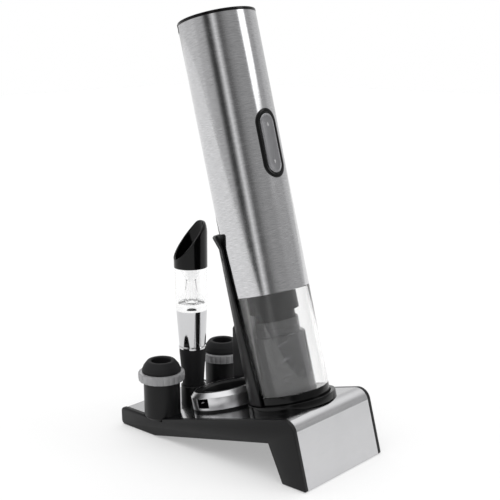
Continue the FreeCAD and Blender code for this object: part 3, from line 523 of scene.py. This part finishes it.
@dataclass
class Stand:
    """The stand: folded steel deck, black body, cheeks and cover, collar, cups and aerator holder."""

    collar_radius: float = 27.6
    collar_bore: float = 24.75
    pad_radius: float = 22.0
    pad_top: float = 2.25
    cheek_edge: float = 0.5
    cradle_edge: float = 0.35

    def build(self, seat: Stance) -> None:
        """Makes the stand's pieces and dresses its CAD nodes."""
        dress("deck_panel", DECK_STEEL)
        dress("rubber_feet", RUBBER)
        dress("cover_screws", SCREW)
        dress("base_body", MATT_BLACK)
        dress("under_cover", MATT_BLACK)
        for side in ("left", "right"):
            node = f"side_cheek_{side}"
            show(f"cheek_{side}", eased(f"cheek_{side}", node, self.cheek_edge), "stand", SATIN_BLACK, node)
            dress(f"stopper_cup_{side}", SATIN_BLACK)
        self.collar(seat)
        dress("aerator_holder", SATIN_BLACK)
        shell = eased("cradle_shell", "cradle", self.cradle_edge)
        show("cradle_shell", shell, "stand", SATIN_BLACK, "cradle")

    def collar(self, seat: Stance) -> None:
        """The low ring that the opener stands in, and the rubber pad on its floor."""
        section = wall([(self.collar_bore, FIT), (self.collar_radius, FIT), (self.collar_radius, COLLAR_TOP),
                        (self.collar_bore, COLLAR_TOP)], 0.45)
        ring = surface("collar_ring", seat.place(turned(section)))
        show("collar_ring", ring, "stand", GLOSS_BLACK, "seat_collar")
        rim, top = self.pad_radius, self.pad_top
        section = solid([(0, 0), (rim, 0), (rim, top), (0, top)], 0.5)
        cushion = surface("seat_cushion", seat.place(turned(section, 96)), ring=False)
        show("seat_cushion", cushion, "stand", RUBBER, "seat_pad")


@dataclass
class Opener:
    """The opener's shell from the floor ring to the cap."""

    radius: float = 24.25
    clear_radius: float = 24.15
    clear_bore: float = 22.25
    foot: float = 2.3
    ring_top: float = 9.4
    ring_bore: float = 16.4
    sleeve_low: float = 71.1
    sleeve_top: float = 239.4
    cap_top: float = 241.5
    guide_radius: float = 16.3
    guide_bore: float = 14.9
    guide_top: float = 44.5
    neck_radius: float = 13.7
    neck_bore: float = 12.8
    neck_top: float = 53.0
    rib_count: int = 8
    rib_turn: float = 20.0
    rib_rise: float = 0.42
    spigot_depth: float = 0.8
    spigot_length: float = 7.0
    cap_skirt: float = 6.9

    def build(self, seat: Stance) -> None:
        """Makes the shell's pieces."""
        dress("outer_sleeve", TUBE_STEEL)
        dress("charge_port", SATIN_BLACK)
        self.cap(seat)
        self.foot_ring(seat)
        self.window(seat)
        self.guide(seat)
        dress("drive_shroud", SATIN_BLACK)

    def cap(self, seat: Stance) -> None:
        """The black cap: a thin rim over the steel and a dished top inside it."""
        rim, dish, low = self.radius, self.cap_top - 0.9, self.sleeve_top + FIT
        plug, foot = rim - 1.5, low - self.cap_skirt
        section = solid([(0, foot), (plug, foot), (plug, low), (rim, low), (rim, self.cap_top),
                         (rim - 2.2, self.cap_top), (rim - 4.0, dish), (0, dish)], 0.5)
        cap = surface("cap_disc", seat.place(turned(section)), ring=False)
        show("cap_disc", cap, "opener", GLOSS_BLACK, "top_cap")

    def foot_ring(self, seat: Stance) -> None:
        """The black ring at the bottom of the clear window."""
        slope = 0.8
        section = wall([(self.ring_bore, self.foot), (self.radius - slope, self.foot),
                        (self.radius, self.foot + slope), (self.radius, self.ring_top),
                        (self.ring_bore, self.ring_top)], 0.35)
        ring = surface("foot_ring", seat.place(turned(section)))
        show("foot_ring", ring, "opener", GLOSS_BLACK, "base_ring")

    def window(self, seat: Stance) -> None:
        """The clear tube that shows the corkscrew."""
        low, high = self.ring_top + FIT, self.sleeve_low - FIT
        spigot, top = self.clear_radius - self.spigot_depth, high + self.spigot_length
        section = wall([(self.clear_bore, low), (self.clear_radius, low), (self.clear_radius, high),
                        (spigot, high), (spigot, top), (self.clear_bore, top)], 0.2)
        window = surface("clear_window", seat.place(turned(section)))
        show("clear_window", window, "opener", CLEAR, "clear_sleeve")

    def guide(self, seat: Stance) -> None:
        """The smoked guide that grips a bottle's neck: a shouldered tube with upright ribs."""
        section = wall([(self.guide_bore, self.foot), (self.guide_radius, self.foot),
                        (self.guide_radius, self.guide_top - 1), (self.guide_radius - 1, self.guide_top),
                        (self.neck_radius, self.guide_top), (self.neck_radius, self.neck_top),
                        (self.neck_bore, self.neck_top), (self.neck_bore, self.guide_top - 1.2),
                        (self.guide_bore, self.guide_top - 1.2)], 0.3)

        def ribs(angle: Array, radius: Array, height: Array) -> Array:
            """Half-round upright ribs on the outer wall: rise sqrt(1 - t^2), t being -1 to 1 over a rib."""
            turn = (angle - math.radians(self.rib_turn)) * self.rib_count / (2 * math.pi)
            across = (turn - np.round(turn)) * 16
            outside = (radius > self.guide_radius - 0.2) & (height > self.ring_top + 1)
            return self.rib_rise * np.sqrt(np.clip(1 - across ** 2, 0, 1)) * outside

        shell = surface("neck_guide_shell", seat.place(turned(section, 256, ribs)))
        show("neck_guide_shell", shell, "opener", SMOKED, "neck_guide")


@dataclass
class Drive:
    """The works inside the tube: corkscrew, gears, motor, cells and board."""

    def build(self) -> None:
        """Dresses the works' CAD nodes."""
        finishes = {
            "worm_screw": CHROME, "planet_carrier": GEAR, "planet_gear_1": GEAR, "planet_gear_2": GEAR,
            "planet_gear_3": GEAR, "motor_pinion": GEAR, "ring_gear": GEAR, "gearbox_housing": MATT_BLACK,
            "drive_motor": SCREW, "battery_cells": CELL, "chassis_left": MATT_BLACK,
            "chassis_right": MATT_BLACK, "control_board": BOARD, "push_switches": SATIN_BLACK}
        for node, finish in finishes.items():
            dress(node, finish)


@dataclass
class Button:
    """The rocker button: a gloss ring let into the tube and a steel insert that rocks in it."""

    middle: float = 159.2
    width: float = 18.0
    length: float = 42.3
    hole_width: float = 12.4
    hole_length: float = 36.9
    ring_low: float = 24.29
    ring_top: float = 24.85
    plate_width: float = 11.8
    plate_length: float = 36.1
    plate_top: float = 24.6
    mark_length: float = 2.8
    mark_width: float = 1.6
    mark_inset: float = 5.2

    def build(self, seat: Stance) -> None:
        """Makes the ring, the insert and its marks."""
        self.ring(seat)
        self.plate(seat)
        for sign, name in ((1, "rocker_mark_up"), (-1, "rocker_mark_down")):
            self.mark(seat, sign, name)
        dress("rocker_body", SATIN_BLACK)

    def ring(self, seat: Stance) -> None:
        """The gloss ring: a crowned section carried round a round-ended path on the tube."""
        frame_width = (self.width - self.hole_width) / 2
        section = rounded([(0, self.ring_low), (0.5, self.ring_top - 0.12), (frame_width / 2, self.ring_top),
                           (frame_width - 0.4, self.ring_top - 0.12), (frame_width, self.ring_low)],
                          [0.1, 0.4, 1.5, 0.4, 0.1], 7)
        across, along = stadium_rings(self.width, self.length, self.middle, section[:, 0])
        ring = surface("button_ring", seat.place(on_tube(across, along, section[:, 1:])))
        show("button_ring", ring, "opener", GLOSS_BLACK, "button_bezel")

    def plate(self, seat: Stance) -> None:
        """The insert: a raised rim line round a face that dips a little towards its middle."""
        half = self.plate_width / 2
        inset_and_drop = np.array([
            (half, 0.42), (4.4, 0.38), (3.0, 0.3), (1.5, 0.2), (0.85, 0.16), (0.7, 0.02), (0.35, 0.0),
            (0.15, 0.04), (0.0, 0.2), (0.0, 0.85), (0.2, 0.95), (half, 0.95)])
        across, along = stadium_rings(self.plate_width, self.plate_length, self.middle, inset_and_drop[:, 0])
        grid = on_tube(across, along, self.plate_top - inset_and_drop[:, 1:])
        insert = surface("rocker_insert", seat.place(grid), ring=False, sharp=60)
        show("rocker_insert", insert, "rocker", INSERT_STEEL, "rocker_plate")

    def mark(self, seat: Stance, sign: int, name: str) -> None:
        """A small raised drop near one end of the insert, pointing away from its middle."""
        tip = self.middle + sign * (self.plate_length / 2 - self.mark_inset)
        end = tip - sign * self.mark_length
        widest, half = end + sign * 0.6, self.mark_width / 2
        corner = rounded([(0, tip), (half, widest), (0, end), (-half, widest)], 0.3, 4)
        middle = corner.mean(0)
        share = np.array([0.0, 1.0, 1.0, 0.0])[:, None, None]
        drop = np.array([0.3, 0.31, 0.86, 0.86])[:, None]
        flat = middle + (corner - middle)[None] * share
        grid = on_tube(flat[..., 0], flat[..., 1], self.plate_top - drop)
        show(name, surface(name, seat.place(grid), ring=False), "rocker", PALE_INK)


@dataclass
class FoilCutter:
    """The foil cutter on the deck: steel band, black core and four cutting wheels."""

    band_edge: float = 0.22
    core_edge: float = 0.2

    def build(self) -> None:
        """Makes the band and core with soft edges and dresses the wheels."""
        band = eased("cutter_ring", "cutter_band", self.band_edge)
        show("cutter_ring", band, "foil_cutter", RING_STEEL, "cutter_band")
        core = eased("cutter_hub", "cutter_core", self.core_edge)
        show("cutter_hub", core, "foil_cutter", SATIN_BLACK, "cutter_core")
        dress("wheel_pins", SCREW)
        for number in range(1, 5):
            dress(f"cutter_wheel_{number}", CHROME)


@dataclass
class Aerator:
    """The pouring aerator: rubber plug, chrome cone, clear chamber and slant-cut spout."""

    chamber_radius: float = 10.6
    chamber_top: float = 112.5
    spout_low: float = 107.5
    spout_top: float = 138.1
    spout_bottom_radius: float = 11.1
    spout_top_radius: float = 11.5
    spout_wall: float = 1.3
    cut_level: float = 127.0
    cut_lean: float = 50.0
    cut_turn: float = 152.0
    tip_start: float = 130.5
    tip_curve: float = 0.028

    def build(self) -> None:
        """Makes the spout and dresses the rest."""
        self.spout()
        dress("aerator_plug", RUBBER)
        dress("aerator_cone", CHROME)
        dress("aerator_chamber", CLEAR)
        dress("aerator_nozzle", CLEAR)

    def spout(self) -> None:
        """The slant-cut tube, open at its slanted mouth and rounded in towards its tip.

        Its height is the lower of a slanting plane, level - tan(lean) r cos(a - turn), and the tip's height,
        blended by high - ln(1 + e^(high - plane)). Above the start of the tip the radius shrinks by
        curve (z - start)^2. The section runs up the outside, over the lip, down the inside, under the foot.
        """
        angle = np.linspace(0, 2 * np.pi, 160, endpoint=False)[None, :]
        slope = math.tan(math.radians(self.cut_lean)) * self.spout_top_radius
        plane = self.cut_level - slope * np.cos(angle - math.radians(self.cut_turn))
        highest, seam = self.spout_top - 0.6, self.chamber_top + 0.1
        top = highest - np.log1p(np.exp(highest - plane))
        rows, lip_share, lip_depth = 16, [0.99, 1.0, 1.0, 0.99], [0.08, 0.3, 1.0, 1.22]
        climb = np.linspace(0, 0.97, rows)
        share = np.concatenate([climb, lip_share, climb[::-1]])[:, None]
        depth = np.concatenate([np.zeros(rows), lip_depth, np.full(rows, self.spout_wall)])[:, None]
        base = np.repeat([self.spout_low, seam], rows + 2)[:, None]
        height = base + share * (top - base)
        widening = (self.spout_top_radius - self.spout_bottom_radius) / (self.spout_top - self.spout_low)
        radius = self.spout_bottom_radius + widening * (height - self.spout_low)
        radius = radius - self.tip_curve * np.maximum(height - self.tip_start, 0) ** 2 - depth
        socket = np.full((2, angle.shape[1]), self.chamber_radius + FIT)
        radius = np.vstack([radius, socket])
        height = np.vstack([height, np.full_like(socket[:1], seam), np.full_like(socket[:1], self.spout_low)])
        x, y, _ = centre("aerator_chamber")
        grid = np.stack([radius * np.cos(angle) + x, radius * np.sin(angle) + y, height], -1)
        show("pouring_spout", surface("pouring_spout", grid), "aerator", GLOSS_BLACK, "aerator_spout")


@dataclass
class Stopper:
    """A vacuum stopper in its cup: beaded clear flange, rubber dome and valve."""

    side: str
    flange_radius: float = 15.5
    flange_low: float = 37.1
    flange_top: float = 42.7
    flange_width: float = 4.5
    bead_count: int = 24
    bead_rise: float = 0.5

    def build(self) -> None:
        """Makes the beaded flange and dresses the rest."""
        body = f"stopper_{self.side}"
        for part in ("plug", "dome", "valve"):
            dress(f"{body}_{part}", RUBBER)
        inner, edge = self.flange_radius - self.flange_width, self.flange_radius - 0.6
        middle = (self.flange_low + self.flange_top) / 2
        section = wall([(inner, self.flange_low), (edge, self.flange_low), (edge + 0.2, middle),
                        (edge, self.flange_top), (inner, self.flange_top)], 0.8)
        x, y, _ = centre(f"{body}_flange")
        grid = Stance(x, y, 0.0).place(turned(section, 288, self.beads))
        name = f"beaded_flange_{self.side}"
        show(name, surface(name, grid), body, CLOUDED, f"{body}_flange")

    def beads(self, angle: Array, radius: Array, height: Array) -> Array:
        """Beads on the outer edge: rise (|cos(a n / 2)|^0.6 - 0.4), fading out over the last 2 mm inwards."""
        outer = np.clip((radius - self.flange_radius + 2.0) / 1.4, 0, 1)
        return self.bead_rise * outer * (np.abs(np.cos(angle * self.bead_count / 2)) ** 0.6 - 0.4)


# ---------------------------------------------------------------- studio

@dataclass
class Studio:
    """A plain pale floor, a soft surround, a top light and the camera.

    Attributes:
        surround: azimuth and brightness of the upright bands that the steel reflects.
        strip: azimuth and share of the bright panel that is reflected in the upper tube only.
        strip_level: the panel's brightness.
        overhead_level: brightness straight above.
    """

    camera_place: tuple[float, float, float] = (-0.45505, -0.41931, 0.26328)
    camera_aim: tuple[float, float, float] = (0.721553, 0.657356, -0.217357)
    camera_roll: float = -0.574
    lens: float = 72.98
    floor_size: float = 6.0
    surround: tuple[tuple[float, float], ...] = (
        (-180, 0.76), (-123, 0.74), (-114, 0.62), (-99.5, 0.56), (-93.5, 0.5), (-88.5, 0.3), (-84.5, 0.13),
        (-79.5, 0.06), (-74.5, 0.08), (-70.5, 0.22), (-65.5, 0.62), (-61, 0.98), (-56.5, 0.7), (-51.5, 0.38),
        (-47, 0.17), (-40, 0.18), (-29, 0.32), (-14, 0.4), (9, 0.4), (16, 0.45), (53, 0.5), (60, 0.48),
        (68, 0.6), (76, 0.68), (110, 0.76), (180, 0.76))
    strip: tuple[tuple[float, float], ...] = ((17, 0.0), (23, 1.0), (39, 1.0), (46, 0.0))
    strip_level: float = 1.9
    overhead_level: float = 1.3

    def build(self) -> None:
        """Sets up the camera, the floor, the surround and a soft top light."""
        scene = bpy.context.scene
        scene.view_settings.view_transform = "Standard"
        self.camera(scene)
        self.floor(scene)
        self.world(scene)
        self.top_light(scene)

    def camera(self, scene: bpy.types.Scene) -> None:
        """The camera, aimed along a direction and rolled a little."""
        data = bpy.data.cameras.new("camera")
        data.lens = self.lens
        data.sensor_width = 36.0
        data.clip_start = 0.01
        view = bpy.data.objects.new("camera", data)
        scene.collection.objects.link(view)
        view.location = self.camera_place
        view.rotation_mode = "QUATERNION"
        aim = Vector(self.camera_aim).to_track_quat("-Z", "Y")
        view.rotation_quaternion = aim @ Quaternion((0, 0, 1), math.radians(self.camera_roll))
        scene.camera = view

    def floor(self, scene: bpy.types.Scene) -> None:
        """The pale floor."""
        half = self.floor_size / 2
        mesh = bpy.data.meshes.new("floor")
        corners = [(-half, -half, 0), (half, -half, 0), (half, half, 0), (-half, half, 0)]
        mesh.from_pydata(corners, [], [(0, 1, 2, 3)])
        material = bpy.data.materials.new("pale_floor")
        material.use_nodes = True
        material.node_tree.nodes.clear()
        graph = Graph(material.node_tree)
        shader = graph.add("ShaderNodeBsdfPrincipled", {
            "Base Color": (0.6, 0.6, 0.6, 1), "Roughness": 0.7, "Specular IOR Level": 0.2,
            "Emission Color": (1, 1, 1, 1), "Emission Strength": 0.36})
        graph.add("ShaderNodeOutputMaterial", {"Surface": shader.outputs["BSDF"]})
        mesh.materials.append(material)
        ground = bpy.data.objects.new("floor", mesh)
        scene.collection.objects.link(ground)

    def world(self, scene: bpy.types.Scene) -> None:
        """The surround: white where it is looked at, and upright soft bands where it lights and reflects."""
        world = bpy.data.worlds.new("surround")
        scene.world = world
        world.use_nodes = True
        world.node_tree.nodes.clear()
        graph = Graph(world.node_tree)
        way = graph.add("ShaderNodeSeparateXYZ", {0: graph.add("ShaderNodeTexCoord").outputs["Generated"]})
        forward = graph.math("MULTIPLY", way.outputs["Y"], -1.0)
        turn = graph.math("ARCTAN2", way.outputs["X"], forward)
        share = graph.math("MULTIPLY_ADD", turn, 1 / (2 * math.pi))
        share.node.inputs[2].default_value = 0.5
        bands = graph.add("ShaderNodeValToRGB", {"Fac": share})
        self.fill_ramp(bands.color_ramp, self.surround)
        strip = graph.add("ShaderNodeValToRGB", {"Fac": share})
        self.fill_ramp(strip.color_ramp, self.strip)
        above = graph.spread(way.outputs["Z"], 0.27, 0.33, smooth=True)
        lit = graph.math("MULTIPLY", strip.outputs["Color"], above)
        panel = graph.math("MULTIPLY", lit, self.strip_level)
        sides = graph.math("ADD", bands.outputs["Color"], panel)
        high = graph.spread(way.outputs["Z"], 0.45, 0.8, smooth=True)
        mixed = graph.add("ShaderNodeMix", {0: high, 2: sides, 3: self.overhead_level}, data_type="FLOAT")
        ray = graph.add("ShaderNodeLightPath")
        seen = graph.math("MAXIMUM", ray.outputs["Is Camera Ray"], ray.outputs["Is Transmission Ray"])
        strength = graph.add("ShaderNodeMix", {0: seen, 2: mixed.outputs[0], 3: 1.0}, data_type="FLOAT")
        light = graph.add("ShaderNodeBackground", {"Color": (1, 1, 1, 1), "Strength": strength.outputs[0]})
        graph.add("ShaderNodeOutputWorld", {"Surface": light.outputs[0]})

    @staticmethod
    def fill_ramp(ramp: bpy.types.ColorRamp, stops: tuple[tuple[float, float], ...]) -> None:
        """Fills a ramp from (azimuth, brightness) pairs, where azimuth 0 is the front."""
        for index, (azimuth, level) in enumerate(stops):
            place = azimuth / 360 + 0.5
            stop = ramp.elements[index] if index < 2 else ramp.elements.new(place)
            stop.position = place
            stop.color = (level, level, level, 1)

    def top_light(self, scene: bpy.types.Scene) -> None:
        """A wide soft light overhead."""
        data = bpy.data.lights.new("top_softbox", "AREA")
        data.shape = "SQUARE"
        data.size = 1.2
        data.energy = 2.0
        lamp = bpy.data.objects.new("top_softbox", data)
        scene.collection.objects.link(lamp)
        lamp.location = (-0.2, -0.3, 1.3)
        aim = Vector((0.2, 0.3, -1.2))
        lamp.rotation_mode = "QUATERNION"
        lamp.rotation_quaternion = aim.to_track_quat("-Z", "Y")
        lamp.visible_glossy = False


def main() -> None:
    """Builds every sub-assembly in order."""
    logging.basicConfig(level=logging.INFO, format="%(message)s")
    seat = leaning_seat()
    Studio().build()
    Stand().build(seat)
    Opener().build(seat)
    Drive().build()
    Button().build(seat)
    FoilCutter().build()
    Aerator().build()
    for side in ("left", "right"):
        Stopper(side).build()


if __name__ == "__main__":
    main()
